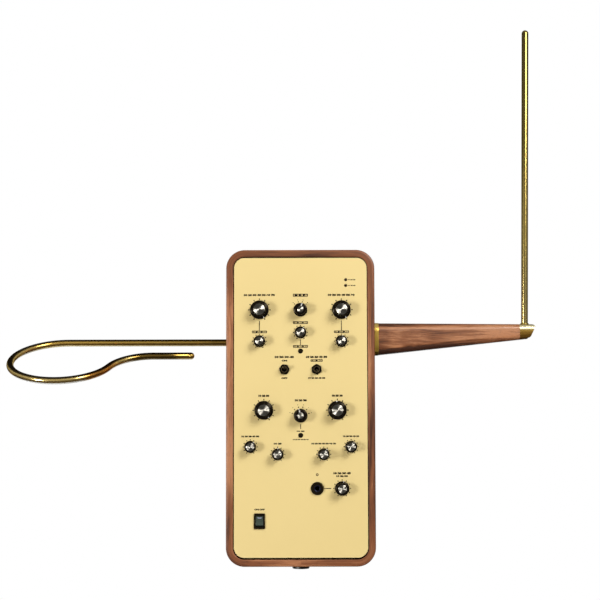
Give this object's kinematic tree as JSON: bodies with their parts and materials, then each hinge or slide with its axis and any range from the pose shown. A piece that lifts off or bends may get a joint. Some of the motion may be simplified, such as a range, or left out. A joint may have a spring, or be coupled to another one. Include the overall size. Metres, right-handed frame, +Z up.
{
  "type": "theremin",
  "caption": "Upright walnut theremin with a control panel, a bent brass volume loop, a vertical brass pitch rod on a tapered arm, and a threaded stand socket.",
  "frame": {"origin": "centre of the mouth of the stand socket, under the cabinet, on the cabinet's middle depth", "axes": "+Z up, the control panel faces -Y, +X to the right of someone who faces the panel (the pitch arm's side)"},
  "size_m": [0.7218, 0.1724, 0.7515],
  "materials": {
    "walnut": "satin lacquered walnut, straight grain",
    "panel_paint": "satin pale gold paint, bright bevelled edge",
    "brass": "polished and lacquered",
    "knob_black": "glossy moulded phenolic",
    "spun_aluminium": "spun, with a concentric sheen",
    "black_nickel": "black nickel plated",
    "black_plastic": "satin moulded",
    "rocker_plastic": "semi-gloss moulded",
    "lamp_lens": "smoked lens",
    "black_steel": "black powder coat",
    "dark_steel": "dark zinc plated",
    "zinc_steel": "bright zinc plated",
    "circuit_board": "solder mask",
    "component_black": "moulded"
  },
  "bodies": {
    "cabinet": {"cabinet_shell": "walnut", "front_panel": "panel_paint", "back_cover": "black_steel", "panel_brackets": "zinc_steel", "panel_nuts": "zinc_steel", "wood_screws": "black_steel", "stand_socket": "dark_steel", "main_board": "circuit_board", "board_components": "component_black", "arm_collar": "brass", "pitch_arm": "walnut", "arm_tip": "brass", "arm_bolts": "zinc_steel", "volume_socket": "brass", "potentiometer_bodies": "zinc_steel", "rotary_switch_bodies": "zinc_steel", "shaft_nuts": "zinc_steel", "toggle_bodies": "dark_steel", "toggle_dress_nuts": "black_nickel", "status_lamps": "lamp_lens", "headphone_jack": "black_plastic", "rear_sockets": "black_plastic", "jack_nuts": "black_plastic", "power_switch_frame": "black_plastic"},
    "volume_knob": {"volume_knob": "knob_black", "volume_cap_and_spindle": "spun_aluminium"},
    "octave_knob": {"octave_knob": "knob_black", "octave_cap_and_spindle": "spun_aluminium"},
    "pitch_knob": {"pitch_knob": "knob_black", "pitch_cap_and_spindle": "spun_aluminium"},
    "quantize_knob": {"quantize_knob": "knob_black", "quantize_cap_and_spindle": "spun_aluminium"},
    "volume_response_knob": {"volume_response_knob": "knob_black", "volume_response_cap_and_spindle": "spun_aluminium"},
    "pitch_response_knob": {"pitch_response_knob": "knob_black", "pitch_response_cap_and_spindle": "spun_aluminium"},
    "filter_knob": {"filter_knob": "knob_black", "filter_cap_and_spindle": "spun_aluminium"},
    "timbre_knob": {"timbre_knob": "knob_black", "timbre_cap_and_spindle": "spun_aluminium"},
    "delay_knob": {"delay_knob": "knob_black", "delay_cap_and_spindle": "spun_aluminium"},
    "brightness_knob": {"brightness_knob": "knob_black", "brightness_cap_and_spindle": "spun_aluminium"},
    "wave_knob": {"wave_knob": "knob_black", "wave_cap_and_spindle": "spun_aluminium"},
    "delay_feedback_knob": {"delay_feedback_knob": "knob_black", "delay_feedback_cap_and_spindle": "spun_aluminium"},
    "delay_time_knob": {"delay_time_knob": "knob_black", "delay_time_cap_and_spindle": "spun_aluminium"},
    "phones_knob": {"phones_knob": "knob_black", "phones_cap_and_spindle": "spun_aluminium"},
    "output_toggle": {"output_toggle_lever": "black_nickel"},
    "mode_toggle": {"mode_toggle_lever": "black_nickel"},
    "upper_button": {"upper_button": "black_plastic"},
    "lower_button": {"lower_button": "black_plastic"},
    "power_rocker": {"power_rocker": "rocker_plastic"},
    "pitch_rod": {"pitch_rod": "brass"},
    "contact_sleeve": {"contact_sleeve": "brass"},
    "volume_loop": {"volume_loop": "brass"}
  },
  "joints": [
    {"name": "volume_turn", "type": "hinge", "parent": "cabinet", "child": "volume_knob", "pos_m": [-0.056, -0.0384, 0.3536], "axis": [0, 1, 0], "range_deg": [-300, 0]},
    {"name": "octave_turn", "type": "hinge", "parent": "cabinet", "child": "octave_knob", "pos_m": [0, -0.0384, 0.3536], "axis": [0, 1, 0], "range_deg": [-60, 30]},
    {"name": "pitch_turn", "type": "hinge", "parent": "cabinet", "child": "pitch_knob", "pos_m": [0.056, -0.0384, 0.3536], "axis": [0, 1, 0], "range_deg": [-300, 0]},
    {"name": "quantize_turn", "type": "hinge", "parent": "cabinet", "child": "quantize_knob", "pos_m": [0, -0.0384, 0.3226], "axis": [0, 1, 0], "range_deg": [-180, 120]},
    {"name": "volume_response_turn", "type": "hinge", "parent": "cabinet", "child": "volume_response_knob", "pos_m": [-0.056, -0.0384, 0.3107], "axis": [0, 1, 0], "range_deg": [-188, 112]},
    {"name": "pitch_response_turn", "type": "hinge", "parent": "cabinet", "child": "pitch_response_knob", "pos_m": [0.056, -0.0384, 0.3107], "axis": [0, 1, 0], "range_deg": [-162, 138]},
    {"name": "filter_turn", "type": "hinge", "parent": "cabinet", "child": "filter_knob", "pos_m": [-0.05, -0.0384, 0.2168], "axis": [0, 1, 0], "range_deg": [-296, 4]},
    {"name": "timbre_turn", "type": "hinge", "parent": "cabinet", "child": "timbre_knob", "pos_m": [0, -0.0384, 0.2095], "axis": [0, 1, 0], "range_deg": [-60, 90]},
    {"name": "delay_turn", "type": "hinge", "parent": "cabinet", "child": "delay_knob", "pos_m": [0.05, -0.0384, 0.2168], "axis": [0, 1, 0], "range_deg": [-146, 154]},
    {"name": "brightness_turn", "type": "hinge", "parent": "cabinet", "child": "brightness_knob", "pos_m": [-0.0684, -0.0384, 0.1673], "axis": [0, 1, 0], "range_deg": [-188, 112]},
    {"name": "wave_turn", "type": "hinge", "parent": "cabinet", "child": "wave_knob", "pos_m": [-0.0313, -0.0384, 0.1572], "axis": [0, 1, 0], "range_deg": [-152, 148]},
    {"name": "delay_feedback_turn", "type": "hinge", "parent": "cabinet", "child": "delay_feedback_knob", "pos_m": [0.0313, -0.0384, 0.1572], "axis": [0, 1, 0], "range_deg": [-182, 118]},
    {"name": "delay_time_turn", "type": "hinge", "parent": "cabinet", "child": "delay_time_knob", "pos_m": [0.0684, -0.0384, 0.1673], "axis": [0, 1, 0], "range_deg": [-188, 112]},
    {"name": "phones_turn", "type": "hinge", "parent": "cabinet", "child": "phones_knob", "pos_m": [0.056, -0.0384, 0.1111], "axis": [0, 1, 0], "range_deg": [-164, 136]},
    {"name": "output_toggle_flip", "type": "hinge", "parent": "cabinet", "child": "output_toggle", "pos_m": [-0.022, -0.0369, 0.2722], "axis": [1, 0, 0], "range_deg": [0, 24]},
    {"name": "mode_toggle_flip", "type": "hinge", "parent": "cabinet", "child": "mode_toggle", "pos_m": [0.022, -0.0369, 0.2722], "axis": [1, 0, 0], "range_deg": [-24, 0]},
    {"name": "upper_button_press", "type": "slide", "parent": "cabinet", "child": "upper_button", "axis": [0, 1, 0], "range_m": [0, 0.0008], "stiffness_N_per_m": 400, "springref_m": -0.0005},
    {"name": "lower_button_press", "type": "slide", "parent": "cabinet", "child": "lower_button", "axis": [0, 1, 0], "range_m": [0, 0.0008], "stiffness_N_per_m": 400, "springref_m": -0.0005},
    {"name": "power_rock", "type": "hinge", "parent": "cabinet", "child": "power_rocker", "pos_m": [-0.056, -0.0369, 0.0673], "axis": [1, 0, 0], "range_deg": [-16, 0]},
    {"name": "pitch_rod_lift", "type": "slide", "parent": "cabinet", "child": "pitch_rod", "axis": [0.0157, 0, 0.9999], "range_m": [0, 0.03]},
    {"name": "volume_loop_swivel", "type": "hinge", "parent": "cabinet", "child": "contact_sleeve", "pos_m": [-0.1015, 0, 0.3104], "axis": [1, 0, 0], "range_deg": [-90, 66]},
    {"name": "volume_loop_pull", "type": "slide", "parent": "contact_sleeve", "child": "volume_loop", "axis": [-1, 0, 0], "range_m": [0, 0.03]}
  ]
}
